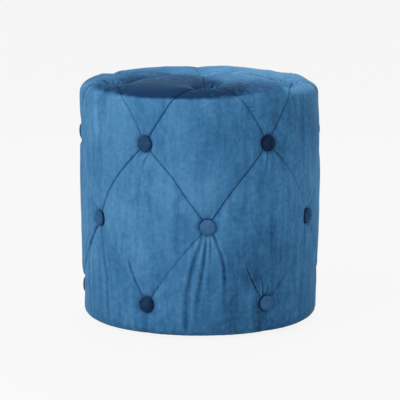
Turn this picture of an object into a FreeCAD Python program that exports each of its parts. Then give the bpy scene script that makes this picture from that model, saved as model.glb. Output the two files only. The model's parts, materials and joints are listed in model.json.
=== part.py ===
# Round tufted footstool: a velvet-covered drum, 350 mm across, drawn in by 25 covered buttons
#
# Frame: millimetres, +Z up, origin on the floor at the middle of the footstool.
# Azimuths are in degrees from the front, -Y, towards +X. The buttons stand on lines 30
# degrees apart. The middle row and the ring on the top share the front lines, 0, 60, 120
# and so on. The upper and lower rows share the lines between them, 30, 90, 150 and so on.
import FreeCAD, Part
import Sketcher
import math
import os

Vector = FreeCAD.Vector
Rotation = FreeCAD.Rotation
Placement = FreeCAD.Placement

# Driving dimensions, each with its own cell
SIZES = [
    # The body
    ("body_diameter", 350.0, "outside of the pillows above the middle row"),
    ("body_height", 350.0, "underside of the velvet to the top edge"),
    ("foot_taper", 4.0, "how much the radius draws in below the middle row"),
    ("top_edge_radius", 22.5, "rounding of the top edge"),
    ("foot_edge_radius", 12.0, "rounding of the bottom edge"),
    # The soft layers
    ("velvet_thickness", 1.5, "velvet alone, as under a button and at the hem"),
    ("side_foam_thickness", 11.5, "round the drum"),
    ("top_foam_thickness", 30.0, "on the top board"),
    ("foam_top_edge_radius", 12.0, "rounding of the top foam"),
    ("foam_foot_edge_radius", 6.0, "rounding of the side foam"),
    ("hem_width", 45.0, "velvet turned under the base board"),
    # The tufting, with the middle row halfway between the other two
    ("lower_row_height", 42.5, "above the underside of the velvet"),
    ("upper_row_drop", 81.5, "below the top edge"),
    ("seat_depth", 6.0, "seat of a side button below the crest"),
    ("crease_depth", 2.2, "halfway between two side buttons"),
    ("edge_crease_depth", 3.0, "where a crease turns over the top edge"),
    ("top_seat_depth", 14.0, "seat of a top button below the top edge"),
    ("top_crease_depth", 9.0, "halfway across the top"),
    ("crown_rise", 5.0, "swell of the top pillows above the top edge"),
    ("crown_drop", 3.5, "fall of the pillows beside the middle button"),
    ("edge_drop", 5.0, "fall of the narrow pillows where they turn over the edge"),
    ("foot_crease_depth", 2.0, "pleat below a lower button, at the bottom edge"),
    ("pleat_width", 5.0, "valley of a pleat that runs alone"),
    ("seat_margin", 1.0, "flat round a button in its seat"),
    # The drum
    ("base_thickness", 12.0, "plywood"),
    ("top_board_thickness", 15.0, "plywood"),
    ("wall_thickness", 3.0, "hardboard bent round the boards"),
    ("wall_gap", 2.0, "between the ends of the hardboard"),
    ("post_side", 28.0, "square softwood"),
    ("post_bevel", 2.0, "down the edges of a post"),
    ("post_gap", 15.0, "between a post's outer corners and the wall"),
    # Screws and staples
    ("screw_diameter", 4.0, "countersunk wood screws"),
    ("screw_head_diameter", 8.0, "countersunk head"),
    ("screw_head_height", 2.5, "countersunk head"),
    ("screw_length", 40.0, "over all"),
    ("staple_width", 10.0, "over all"),
    ("staple_leg", 8.0, "over all"),
    ("staple_wire", 1.0, "square wire"),
    ("hem_staple_inset", 12.0, "from the inner edge of the hem"),
    ("dust_staple_inset", 7.0, "from the edge of the dust cover"),
    # Buttons and what holds them
    ("button_diameter", 23.0, "covered button"),
    ("button_rim_height", 2.2, "straight rim"),
    ("button_crown", 3.0, "dome above the rim"),
    ("button_back_diameter", 15.0, "plate pressed into the button"),
    ("button_back_thickness", 1.2, "plate pressed into the button"),
    ("shank_width", 4.0, "square shank on the plate"),
    ("shank_length", 4.0, "behind the button"),
    ("twine_width", 1.6, "tufting twine, across its corners"),
    ("twine_bite", 2.5, "length held in the shank"),
    ("twine_tail", 4.0, "length behind the toggle"),
    ("toggle_length", 22.0, "wooden toggle inside the drum"),
    ("toggle_width", 8.0, "wooden toggle"),
    ("toggle_thickness", 5.0, "wooden toggle"),
    # Underside
    ("dust_cover_inset", 23.0, "edge of the black cloth, in from the side of the foot"),
    ("dust_cover_thickness", 0.8, "black cloth"),
    ("glide_diameter", 24.0, "plastic glide"),
    ("glide_height", 4.2, "plastic glide"),
    ("glide_bevel", 1.2, "round its foot"),
    ("glide_hem_margin", 4.0, "middle of a glide, out from the inner edge of the hem"),
    ("glide_nail_diameter", 2.4, "nail moulded into the glide"),
    ("glide_nail_length", 10.0, "above the glide"),
    # Cutters
    ("cut_overrun", 5.0, "how far a cutter runs past what it cuts"),
]

# Counts, and azimuths of the first of each
TUFT_COUNT = 6
SECTOR = 360.0 / TUFT_COUNT
POST_COUNT = 4
POST_ANGLE = SECTOR / 4
GLIDE_COUNT = 4
GLIDE_ANGLE = 45.0
HEM_STAPLE_COUNT = 12
DUST_STAPLE_COUNT = 12
DUST_STAPLE_ANGLE = SECTOR / 4
WALL_STAPLE_COUNT = 6
WALL_STAPLE_ANGLE = 48.0
WALL_GAP_ANGLE = 180.0 - SECTOR / 4
TWINE_SIDE_COUNT = 6
TOP_STEP_COUNT = 3
EDGE_DROP_SHARES = (0.15, 0.5, 1.0, 0.7)
RING_RISE_SHARE = 0.4
FOOT_STEP_COUNT = 2

# Lengths worked out from those, as expressions in the sheet's names
VELVET_BOTTOM = "(Sizes.glide_height + Sizes.dust_cover_thickness)"
BODY_TOP = "(%s + Sizes.body_height)" % VELVET_BOTTOM
BASE_BOTTOM = "(%s + Sizes.velvet_thickness)" % VELVET_BOTTOM
BASE_TOP = "(%s + Sizes.base_thickness)" % BASE_BOTTOM
BODY_RADIUS = "(Sizes.body_diameter / 2)"
FOOT_RADIUS = "(%s - Sizes.foot_taper)" % BODY_RADIUS
LOWER_ROW = "(%s + Sizes.lower_row_height)" % VELVET_BOTTOM
UPPER_ROW = "(%s - Sizes.upper_row_drop)" % BODY_TOP
MIDDLE_ROW = "((%s + %s) / 2)" % (LOWER_ROW, UPPER_ROW)
LOWER_DRAW = "(Sizes.foot_taper * (%s - %s) / (%s - %s - Sizes.foot_edge_radius))" % (
    MIDDLE_ROW, LOWER_ROW, MIDDLE_ROW, VELVET_BOTTOM)
SIDE_SEAT = "(%s - Sizes.seat_depth)" % BODY_RADIUS
LOWER_SEAT = "(%s - %s)" % (SIDE_SEAT, LOWER_DRAW)
TOP_SEAT = "(%s - Sizes.top_seat_depth)" % BODY_TOP
SEAT_RADIUS = "(Sizes.button_diameter / 2 + Sizes.seat_margin)"
SEAT_WIDTH = "(2 * %s)" % SEAT_RADIUS
RING_RADIUS = "(%s - Sizes.top_edge_radius - %s)" % (BODY_RADIUS, SEAT_RADIUS)
QUILT_SIDE = "(Sizes.seat_depth + Sizes.velvet_thickness)"
FOAM_RADIUS = "(%s - %s)" % (BODY_RADIUS, QUILT_SIDE)
FOAM_FOOT_RADIUS = "(%s - %s)" % (FOOT_RADIUS, QUILT_SIDE)
FOAM_TOP = "(%s - Sizes.velvet_thickness)" % TOP_SEAT
TOP_BOARD_TOP = "(%s - Sizes.top_foam_thickness)" % FOAM_TOP
TOP_BOARD_BOTTOM = "(%s - Sizes.top_board_thickness)" % TOP_BOARD_TOP
DRUM_RADIUS = "(%s - Sizes.side_foam_thickness)" % FOAM_RADIUS
BOARD_RADIUS = "(%s - Sizes.wall_thickness)" % DRUM_RADIUS
HEM_RADIUS = "(%s - Sizes.foot_edge_radius - Sizes.hem_width)" % FOOT_RADIUS
DUST_RADIUS = "(%s - Sizes.dust_cover_inset)" % FOOT_RADIUS
GLIDE_CIRCLE = "(%s + Sizes.glide_hem_margin)" % HEM_RADIUS
POST_CIRCLE = (
    "(sqrt((%s - Sizes.post_gap) ^ 2 - Sizes.post_side ^ 2 / 4) - Sizes.post_side / 2)"
    % BOARD_RADIUS
)

doc = FreeCAD.newDocument("Footstool")
sheet = doc.addObject("Spreadsheet::Sheet", "Sizes")
for row, (alias, number, note) in enumerate(SIZES, start=1):
    sheet.set("A%d" % row, alias)
    sheet.set("B%d" % row, str(number))
    sheet.set("C%d" % row, note)
    sheet.setAlias("B%d" % row, alias)
doc.recompute()
nodes = []


def value(expression):
    """The number that an expression in the sheet's names gives."""
    return float(sheet.evalExpression(expression))


def bind(obj, **expressions):
    """Ties properties of an object to expressions in the sheet's names."""
    for prop, expression in expressions.items():
        obj.setExpression(prop.replace("__", "."), expression)
    return obj


def keep(obj, name):
    """Makes an object a sub-part, under the name that its file takes."""
    obj.Label = name
    nodes.append(obj)
    return obj


def box(name, length, width, height, x="0", y="0", z="0"):
    """A block with its corner at x, y, z."""
    block = doc.addObject("Part::Box", name)
    return bind(block, Length=length, Width=width, Height=height,
                Placement__Base__x=x, Placement__Base__y=y, Placement__Base__z=z)


def cylinder(name, radius, height, z="0"):
    """A cylinder on the Z axis, from z up."""
    rod = doc.addObject("Part::Cylinder", name)
    return bind(rod, Radius=radius, Height=height, Placement__Base__z=z)


def cone(name, bottom, top, height, z="0"):
    """A cut-off cone on the Z axis, from z up."""
    frustum = doc.addObject("Part::Cone", name)
    return bind(frustum, Radius1=bottom, Radius2=top, Height=height,
                Placement__Base__z=z)


def fuse(name, shapes):
    """Several shapes joined into one solid."""
    joined = doc.addObject("Part::MultiFuse", name)
    joined.Shapes = shapes
    joined.Refine = True
    return joined


def cut(name, base, tools):
    """A shape with other shapes taken out of it."""
    tool = tools[0]
    if len(tools) > 1:
        tool = doc.addObject("Part::Compound", name + "_cutters")
        tool.Links = tools
    holed = doc.addObject("Part::Cut", name)
    holed.Base = base
    holed.Tool = tool
    return holed


def solid_group(name, solids):
    """Several separate solids as one object."""
    group = doc.addObject("Part::Feature", name)
    group.Shape = Part.makeCompound(solids)
    return group


def placed(master, places):
    """The master's solid at each place."""
    solids = []
    for place in places:
        solid = master.Shape.copy()
        solid.Placement = place.multiply(solid.Placement)
        solids.append(solid)
    return solids


def copies(name, master, places):
    """One solid of the master's shape at each place, as one object."""
    doc.recompute()
    return solid_group(name, placed(master, places))


def around(azimuth, radius, height):
    """The point at an azimuth, radius and height."""
    turn = math.radians(azimuth)
    return Vector(radius * math.sin(turn), -radius * math.cos(turn), height)


def upright(azimuth, radius, height):
    """A place whose Z stays up and whose X runs round the footstool."""
    return Placement(around(azimuth, radius, height), Rotation(Vector(0, 0, 1), azimuth))


def sideways(azimuth, radius, height):
    """A place whose Z points straight out of the side and whose Y points up."""
    turn = Rotation(Vector(0, 0, 1), azimuth) * Rotation(Vector(1, 0, 0), 90)
    return Placement(around(azimuth, radius, height), turn)


def spread(count, first=0.0):
    """Azimuths of so many places round the footstool."""
    return [first + 360.0 / count * index for index in range(count)]


FRONT_LINES = spread(TUFT_COUNT)
LINES_BETWEEN = spread(TUFT_COUNT, SECTOR / 2)


def origin_feature(body, role):
    """A plane or axis of a body's own origin."""
    return [item for item in body.Origin.OriginFeatures if item.Role == role][0]


def outline(body, plane, corners):
    """A closed sketch through corners, each an x and a y expression.

    A corner with a third expression starts an arc of that radius, which bulges to the
    right of the way to the next corner.
    """
    sketch = body.newObject("Sketcher::SketchObject", body.Name + "_outline")
    sketch.AttachmentSupport = [(origin_feature(body, plane), "")]
    sketch.MapMode = "FlatFace"
    points = [Vector(value(corner[0]), value(corner[1]), 0) for corner in corners]
    for index, corner in enumerate(corners):
        start = points[index]
        end = points[(index + 1) % len(points)]
        if len(corner) == 2:
            sketch.addGeometry(Part.LineSegment(start, end), False)
            continue
        radius = value(corner[2])
        chord = end - start
        rise = math.sqrt(max(radius ** 2 - chord.Length ** 2 / 4, 0))
        centre = (start + end) * 0.5 + Vector(-chord.y, chord.x, 0).normalize() * rise
        first = math.atan2(start.y - centre.y, start.x - centre.x)
        last = math.atan2(end.y - centre.y, end.x - centre.x)
        circle = Part.Circle(centre, Vector(0, 0, 1), radius)
        sketch.addGeometry(Part.ArcOfCircle(circle, first, last), False)
    for index in range(len(corners)):
        following = (index + 1) % len(corners)
        sketch.addConstraint(Sketcher.Constraint("Coincident", index, 2, following, 1))
    for index, corner in enumerate(corners):
        named = [("DistanceX", "x", corner[0], points[index].x),
                 ("DistanceY", "y", corner[1], points[index].y)]
        for kind, letter, expression, number in named:
            made = sketch.addConstraint(
                Sketcher.Constraint(kind, -1, 1, index, 1, number))
            sketch.renameConstraint(made, "%s%d" % (letter, index))
            sketch.setExpression("Constraints.%s%d" % (letter, index), expression)
        if len(corner) == 3:
            made = sketch.addConstraint(
                Sketcher.Constraint("Radius", index, value(corner[2])))
            sketch.renameConstraint(made, "radius%d" % index)
            sketch.setExpression("Constraints.radius%d" % index, corner[2])
    return sketch


def spun(name, corners):
    """A body made by turning an outline of radii and heights about the Z axis."""
    body = doc.addObject("PartDesign::Body", name)
    turned = body.newObject("PartDesign::Revolution", name + "_turned")
    turned.Profile = outline(body, "XZ_Plane", corners)
    turned.ReferenceAxis = (origin_feature(body, "Z_Axis"), [""])
    turned.Angle = 360
    body.Tip = turned
    return body


def padded(name, corners, length):
    """A body made by raising an outline straight up."""
    body = doc.addObject("PartDesign::Body", name)
    raised = body.newObject("PartDesign::Pad", name + "_raised")
    raised.Profile = outline(body, "XY_Plane", corners)
    raised.setExpression("Length", length)
    body.Tip = raised
    return body


# Buttons, with their own Z pointing out and their underside at zero
def covered_button():
    """A domed button with a recess for its back plate."""
    crown = "((Sizes.button_diameter ^ 2 / 4 + Sizes.button_crown ^ 2) / 2 / Sizes.button_crown)"
    height = "(Sizes.button_rim_height + Sizes.button_crown)"
    recess = "Sizes.button_back_diameter / 2"
    return spun("button", [
        ("0", "Sizes.button_back_thickness"),
        (recess, "Sizes.button_back_thickness"),
        (recess, "0"),
        ("Sizes.button_diameter / 2", "0"),
        ("Sizes.button_diameter / 2", "Sizes.button_rim_height", crown),
        ("0", height),
    ])


def button_back():
    """The plate pressed into a button, with the square shank that takes the twine."""
    plate = cylinder("back_plate", "Sizes.button_back_diameter / 2",
                     "Sizes.button_back_thickness")
    shank = box("back_shank", "Sizes.shank_width", "Sizes.shank_width",
                "Sizes.shank_length", "-Sizes.shank_width / 2",
                "-Sizes.shank_width / 2", "-Sizes.shank_length")
    bore = twine_rod("back_bore", "Sizes.twine_bite", "-Sizes.shank_length")
    return cut("button_back", fuse("back_blank", [plate, shank]), [bore])


def twine_rod(name, length, z):
    """A six-sided length of twine on the Z axis, from z up."""
    rod = doc.addObject("Part::Prism", name)
    rod.Polygon = TWINE_SIDE_COUNT
    return bind(rod, Circumradius="Sizes.twine_width / 2", Height=length,
                Placement__Base__z=z)


def toggle(name, outer_face):
    """A wooden toggle with a hole for the twine; outer_face is its nearer face."""
    block = box(name + "_block", "Sizes.toggle_width", "Sizes.toggle_length",
                "Sizes.toggle_thickness", "-Sizes.toggle_width / 2",
                "-Sizes.toggle_length / 2",
                "%s - Sizes.toggle_thickness" % outer_face)
    hole = twine_rod(name + "_hole", "Sizes.toggle_thickness + 2 * Sizes.cut_overrun",
                     "%s - Sizes.toggle_thickness - Sizes.cut_overrun" % outer_face)
    return cut(name, block, [hole])


# How far inside a button's seat the toggle's outer face lies, as a negative height
WALL_FACE = "sqrt(%s ^ 2 - Sizes.toggle_width ^ 2 / 4)" % BOARD_RADIUS
SIDE_TOGGLE = "(%s - %s)" % (WALL_FACE, SIDE_SEAT)
LOWER_TOGGLE = "(%s - %s)" % (WALL_FACE, LOWER_SEAT)
TOP_TOGGLE = "(%s - %s)" % (TOP_BOARD_BOTTOM, TOP_SEAT)



def button_rows():
    """Each row's name, the height of its toggles' outer faces and its places.

    The toggles stand upright against the wall, and under the top board they lie across
    the way to the middle.
    """
    across = Placement(Vector(0, 0, 0), Rotation(Vector(0, 0, 1), 90))
    ring = [upright(line, value(RING_RADIUS), value(TOP_SEAT)).multiply(across)
            for line in FRONT_LINES]
    return [
        ("lower", LOWER_TOGGLE, [sideways(line, value(LOWER_SEAT), value(LOWER_ROW))
                                 for line in LINES_BETWEEN]),
        ("middle", SIDE_TOGGLE, [sideways(line, value(SIDE_SEAT), value(MIDDLE_ROW))
                                 for line in FRONT_LINES]),
        ("upper", SIDE_TOGGLE, [sideways(line, value(SIDE_SEAT), value(UPPER_ROW))
                                for line in LINES_BETWEEN]),
        ("top", TOP_TOGGLE, [upright(0, 0, value(TOP_SEAT))] + ring),
    ]


def make_buttons():
    """Each row's buttons, back plates, twines and toggles. Returns the pieces that
    pass through the soft layers and the drum."""
    button = covered_button()
    back = button_back()
    through = []
    for row, face, places in button_rows():
        end = "%s - Sizes.toggle_thickness - Sizes.twine_tail" % face
        length = "-Sizes.shank_length + Sizes.twine_bite - (%s)" % end
        rod = twine_rod(row + "_twine", length, end)
        block = toggle(row + "_toggle", face)
        keep(copies("all_%s_buttons" % row, button, places), row + "_buttons")
        backs = copies("all_%s_backs" % row, back, places)
        twines = copies("all_%s_twines" % row, rod, places)
        keep(backs, row + "_button_backs")
        keep(twines, row + "_twines")
        keep(copies("all_%s_toggles" % row, block, places), row + "_toggles")
        through += [backs, twines]
    return through


# The tufted velvet
# Each station is a closed ring of arcs: one on every front line and one on every line
# between. Neighbouring arcs meet in a crease, which lies below the crests of the arcs.
# Ruled stretches join the stations, so the creases run from button to button in diamonds.
class Station:
    """One ring of the tufted surface, whose crests have a radius and a height.

    The slope is that of the way out of the velvet, in degrees above the horizontal, and
    the crease lies so far below the crests. At a share of 0 the arcs on the front lines
    have the narrow width and the others reach across, and at 1 it is the other way round.
    """

    def __init__(self, radius, height, slope, crease, narrow, share):
        self.radius = radius
        self.height = height
        self.slope = math.radians(slope)
        self.crease = crease
        narrow_angle = math.degrees(narrow / radius)
        self.front_angle = narrow_angle + (SECTOR - 2 * narrow_angle) * share
        self.front_drop = crease * (1 - share) ** 2
        self.between_drop = crease * share ** 2

    def point(self, azimuth, depth):
        """A point so far below the crest of the pillows."""
        return around(azimuth, self.radius - depth * math.cos(self.slope),
                      self.height - depth * math.sin(self.slope))

    def wire(self):
        """The ring of arcs."""
        half = self.front_angle / 2
        arcs = []
        for line in FRONT_LINES:
            start = self.point(line - half, self.crease)
            front = self.point(line, self.front_drop)
            middle = self.point(line + half, self.crease)
            between = self.point(line + SECTOR / 2, self.between_drop)
            end = self.point(line + SECTOR - half, self.crease)
            arcs.append(Part.Arc(start, front, middle).toShape())
            arcs.append(Part.Arc(middle, between, end).toShape())
        return Part.Wire(arcs)


def foot_stations():
    """The bottom edge, with the pleats of the lower buttons running out over it."""
    toe = value("Sizes.foot_edge_radius")
    middle = value(FOOT_RADIUS) - toe
    pleat = value("Sizes.foot_crease_depth")
    width = value("Sizes.pleat_width")
    stations = []
    for step in range(FOOT_STEP_COUNT + 1):
        share = step / FOOT_STEP_COUNT
        turn = math.radians(90 * share)
        stations.append(Station(
            middle + toe * math.sin(turn), value(VELVET_BOTTOM) + toe - toe * math.cos(turn),
            90 * share - 90, pleat * share, width, 1))
    return stations


def side_stations():
    """The seats of the three rows, and a ring halfway from each row to the next."""
    seat_half = value(SEAT_RADIUS)
    seat_width = value(SEAT_WIDTH)
    lower_radius = value(BODY_RADIUS) - value(LOWER_DRAW)
    rows = [(value(LOWER_ROW), lower_radius, 1), (value(MIDDLE_ROW), value(BODY_RADIUS), 0),
            (value(UPPER_ROW), value(BODY_RADIUS), 1)]
    stations = []
    for index, (height, radius, share) in enumerate(rows):
        if index:
            last_height, last_radius, last_share = rows[index - 1]
            stations.append(Station(
                (radius + last_radius) / 2, (height + last_height) / 2, 0,
                value("Sizes.crease_depth"), seat_width, (share + last_share) / 2))
        for side in (-seat_half, seat_half):
            stations.append(Station(radius, height + side, 0,
                                    value("Sizes.seat_depth"), seat_width, share))
    return stations


def edge_stations():
    """The top edge, where the creases lean over from the upper row to the ring."""
    edge = value("Sizes.top_edge_radius")
    middle = value(BODY_RADIUS) - edge
    edge_start = value(BODY_TOP) - edge
    straight = edge_start - value(UPPER_ROW) - value(SEAT_RADIUS)
    path = straight + edge * math.pi / 2
    shallow = value("Sizes.edge_crease_depth")
    deep = value("Sizes.top_seat_depth")
    stations = []
    for step in range(TOP_STEP_COUNT + 1):
        share = step / TOP_STEP_COUNT
        turn = math.radians(90 * share)
        station = Station(
            middle + edge * math.cos(turn), edge_start + edge * math.sin(turn), 90 * share,
            shallow + (deep - shallow) * share ** 2, value(SEAT_WIDTH),
            1 - (straight + edge * turn) / path)
        station.between_drop += value("Sizes.edge_drop") * EDGE_DROP_SHARES[step]
        stations.append(station)
    return stations


def top_stations():
    """The seats of the ring, and the creases that run on to the middle button."""
    top = value(BODY_TOP)
    deep = value("Sizes.top_seat_depth")
    halfway = value("Sizes.top_crease_depth")
    seat_half = value(SEAT_RADIUS)
    ring = value(RING_RADIUS)
    width = value("Sizes.pleat_width")
    rise = value("Sizes.crown_rise")
    ring_seat = Station(ring - seat_half, top, 90, deep, value(SEAT_WIDTH), 0)
    ring_seat.between_drop = -rise * RING_RISE_SHARE
    midway = Station(ring / 2, top, 90, halfway, width, 0)
    midway.between_drop = -rise
    beside = Station(value(SEAT_WIDTH), top, 90, (halfway + deep) / 2, width, 0)
    beside.between_drop = value("Sizes.crown_drop")
    centre = Station(seat_half, top, 90, deep, width, 0)
    centre.between_drop = deep
    return [ring_seat, midway, beside, centre]


def make_velvet_cover(crossing):
    """Velvet with its wadding: tufted pillows outside, and smooth against the foam."""
    stations = foot_stations() + side_stations() + edge_stations() + top_stations()
    pillows = doc.addObject("Part::Feature", "pillows")
    pillows.Shape = Part.makeLoft([station.wire() for station in stations], True, True)
    foam_space = spun("foam_space", foam_foot("0") + foam_crown())
    hem = cylinder("hem_opening", HEM_RADIUS,
                   "Sizes.velvet_thickness + 2 * Sizes.cut_overrun",
                   "%s - Sizes.cut_overrun" % VELVET_BOTTOM)
    hollow = cut("quilt_hollow", pillows, [foam_space])
    opened = cut("quilt_opened", hollow, [hem])
    keep(cut("cover", opened, crossing), "velvet_cover")


# Foam
def foam_foot(inner_radius):
    """Corners of the foam from its underside, round the bottom edge, to the middle row."""
    toe = "Sizes.foam_foot_edge_radius"
    return [
        (inner_radius, BASE_BOTTOM),
        ("%s - %s" % (FOAM_FOOT_RADIUS, toe), BASE_BOTTOM, toe),
        (FOAM_FOOT_RADIUS, "%s + %s" % (BASE_BOTTOM, toe)),
        (FOAM_RADIUS, MIDDLE_ROW),
    ]


def foam_crown():
    """Corners of the foam round its top edge, to the middle of its top."""
    edge = "Sizes.foam_top_edge_radius"
    return [
        (FOAM_RADIUS, "%s - %s" % (FOAM_TOP, edge), edge),
        ("%s - %s" % (FOAM_RADIUS, edge), FOAM_TOP),
        ("0", FOAM_TOP),
    ]


def make_foams(through):
    """The foam round the drum and the foam on its top board. The crowns of the staples
    stand half out of the wall and press into the side foam."""
    side = spun("side_foam_blank", foam_foot(DRUM_RADIUS) + [
        (FOAM_RADIUS, TOP_BOARD_TOP),
        (DRUM_RADIUS, TOP_BOARD_TOP),
    ])
    top = spun("top_foam_blank", [
        ("0", TOP_BOARD_TOP),
        (FOAM_RADIUS, TOP_BOARD_TOP),
    ] + foam_crown())
    keep(cut("side_foam_holed", side, through), "side_foam")
    keep(cut("top_foam_holed", top, through), "top_foam")


# The drum
def make_drum(through, screws, staples, glides):
    """Boards, posts and the hardboard wall, holed for what passes through them."""
    base = cylinder("base_blank", BOARD_RADIUS, "Sizes.base_thickness", BASE_BOTTOM)
    top = cylinder("top_blank", BOARD_RADIUS, "Sizes.top_board_thickness",
                   TOP_BOARD_BOTTOM)
    keep(cut("base_holed", base, screws + staples + glides), "base_board")
    keep(cut("top_holed", top, screws + staples + through), "top_board")
    length = "%s - %s" % (TOP_BOARD_BOTTOM, BASE_TOP)
    half = "(Sizes.post_side / 2)"
    flat = "(Sizes.post_side / 2 - Sizes.post_bevel)"
    section = [
        (half, "-%s" % flat), (half, flat), (flat, half), ("-%s" % flat, half),
        ("-%s" % half, flat), ("-%s" % half, "-%s" % flat),
        ("-%s" % flat, "-%s" % half), (flat, "-%s" % half),
    ]
    for index, azimuth in enumerate(spread(POST_COUNT, POST_ANGLE), start=1):
        post = padded("post_%d_blank" % index, section, length)
        post.Placement = upright(azimuth, value(POST_CIRCLE), 0)
        post.setExpression("Placement.Base.z", BASE_TOP)
        keep(cut("post_%d_holed" % index, post, screws), "post_%d" % index)
    height = "%s - %s" % (TOP_BOARD_TOP, BASE_BOTTOM)
    outside = cylinder("wall_outside", DRUM_RADIUS, height, BASE_BOTTOM)
    inside = cylinder("wall_inside", BOARD_RADIUS, height, BASE_BOTTOM)
    gap = box("wall_gap", "Sizes.wall_gap", DRUM_RADIUS, height,
              "-Sizes.wall_gap / 2", "-%s" % DRUM_RADIUS, BASE_BOTTOM)
    doc.recompute()
    turned_gap = copies("wall_gap_turned", gap, [upright(WALL_GAP_ANGLE, 0, 0)])
    wall = cut("wall_tube", outside, [inside])
    wall = cut("wall_split", wall, [turned_gap])
    keep(cut("wall_holed", wall, through + staples), "drum_wall")


def make_screws():
    """Countersunk screws through both boards into the ends of the posts."""
    head = cone("screw_head", "Sizes.screw_head_diameter / 2",
                "Sizes.screw_diameter / 2", "Sizes.screw_head_height")
    shank = cylinder("screw_shank", "Sizes.screw_diameter / 2", "Sizes.screw_length")
    screw = fuse("screw", [head, shank])
    radius = value(POST_CIRCLE)
    flip = Placement(Vector(0, 0, 0), Rotation(Vector(1, 0, 0), 180))
    azimuths = spread(POST_COUNT, POST_ANGLE)
    base = copies("all_base_screws", screw,
                  [upright(azimuth, radius, value(BASE_BOTTOM)) for azimuth in azimuths])
    top = copies("all_top_screws", screw,
                 [upright(azimuth, radius, value(TOP_BOARD_TOP)).multiply(flip)
                  for azimuth in azimuths])
    return [keep(base, "base_screws"), keep(top, "top_screws")]


def make_staples():
    """Staples: through the hem, through the dust cover and through the wall.

    A staple has its crown on the X axis, under zero, and its legs pointing up.
    """
    wire = "Sizes.staple_wire"
    crown = box("staple_crown", "Sizes.staple_width", wire, wire,
                "-Sizes.staple_width / 2", "-%s / 2" % wire, "-%s" % wire)
    left = box("staple_left", wire, wire, "Sizes.staple_leg",
               "-Sizes.staple_width / 2", "-%s / 2" % wire, "-%s" % wire)
    right = box("staple_right", wire, wire, "Sizes.staple_leg",
                "Sizes.staple_width / 2 - %s" % wire, "-%s / 2" % wire, "-%s" % wire)
    staple = fuse("staple", [crown, left, right])
    hem_circle = value(HEM_RADIUS) + value("Sizes.hem_staple_inset")
    dust_circle = value(DUST_RADIUS) - value("Sizes.dust_staple_inset")
    dust_bottom = value("Sizes.glide_height")
    hem = copies("all_hem_staples", staple,
                 [upright(azimuth, hem_circle, value(VELVET_BOTTOM) + value(wire))
                  for azimuth in spread(HEM_STAPLE_COUNT)])
    dust = copies("all_dust_staples", staple,
                  [upright(azimuth, dust_circle, dust_bottom)
                   for azimuth in spread(DUST_STAPLE_COUNT, DUST_STAPLE_ANGLE)])
    inwards = Placement(Vector(0, 0, 0), Rotation(Vector(1, 0, 0), 180))
    base_level = (value(BASE_BOTTOM) + value(BASE_TOP)) / 2
    top_level = (value(TOP_BOARD_BOTTOM) + value(TOP_BOARD_TOP)) / 2
    wall_face = value("%s - %s / 2" % (DRUM_RADIUS, wire))
    places = []
    for level in (base_level, top_level):
        places += [sideways(azimuth, wall_face, level).multiply(inwards)
                   for azimuth in spread(WALL_STAPLE_COUNT, WALL_STAPLE_ANGLE)]
    wall = copies("all_wall_staples", staple, places)
    return [keep(hem, "hem_staples"), keep(dust, "dust_cover_staples"),
            keep(wall, "wall_staples")]


def make_glides():
    """Plastic glides with their nails."""
    radius = "Sizes.glide_diameter / 2"
    bevel = cone("glide_foot", "%s - Sizes.glide_bevel" % radius, radius,
                 "Sizes.glide_bevel")
    pad = cylinder("glide_pad", radius, "Sizes.glide_height - Sizes.glide_bevel",
                   "Sizes.glide_bevel")
    nail = cylinder("glide_nail", "Sizes.glide_nail_diameter / 2",
                    "Sizes.glide_nail_length", "Sizes.glide_height")
    glide = fuse("glide", [bevel, pad, nail])
    circle = value(GLIDE_CIRCLE)
    places = [upright(azimuth, circle, 0) for azimuth in spread(GLIDE_COUNT, GLIDE_ANGLE)]
    return [keep(copies("all_glides", glide, places), "glides")]


def make_dust_cover(staples, glides):
    """The black cloth that closes the underside."""
    cloth = cylinder("dust_blank", DUST_RADIUS, "Sizes.dust_cover_thickness",
                     "Sizes.glide_height")
    keep(cut("dust_holed", cloth, staples + glides), "dust_cover")


def check_and_write():
    """Stops on any failed object or bad shape, then writes each sub-part's file."""
    doc.recompute()
    for obj in doc.Objects:
        if "Invalid" in obj.State or "Error" in obj.State:
            raise RuntimeError("%s didn't recompute: %s" % (obj.Name, obj.State))
    for node in nodes:
        if node.Shape.isNull() or not node.Shape.isValid() or not node.Shape.Solids:
            raise RuntimeError("%s has no valid solid" % node.Label)
    os.makedirs("parts", exist_ok=True)
    for node in nodes:
        node.Shape.exportStep(os.path.join("parts", node.Label + ".step"))
        print("%-22s %3d solids %12.1f mm3" % (
            node.Label, len(node.Shape.Solids), node.Shape.Volume))


through = make_buttons()
screws = make_screws()
staples = make_staples()
glides = make_glides()
make_drum(through, screws, staples, glides)
make_foams(through + staples[-1:])
make_dust_cover(staples, glides)
make_velvet_cover(through + staples + glides)
check_and_write()
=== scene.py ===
"""Looks of the round tufted footstool: velvet, buttons, underside, light and camera.

Lengths are in millimetres until a mesh is made. Azimuths are in degrees from the front,
-Y, towards +X. A place on the velvet is an azimuth and a way. The way runs along the
crests of the pillows from the inner edge of the hem, out under the foot, up the side and
over the top to the middle. Below zero it runs on over the inside of the cover.
"""
import json
import math
import random
from contextlib import contextmanager
import bmesh
import bpy
import numpy as np
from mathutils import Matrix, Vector, noise


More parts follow.
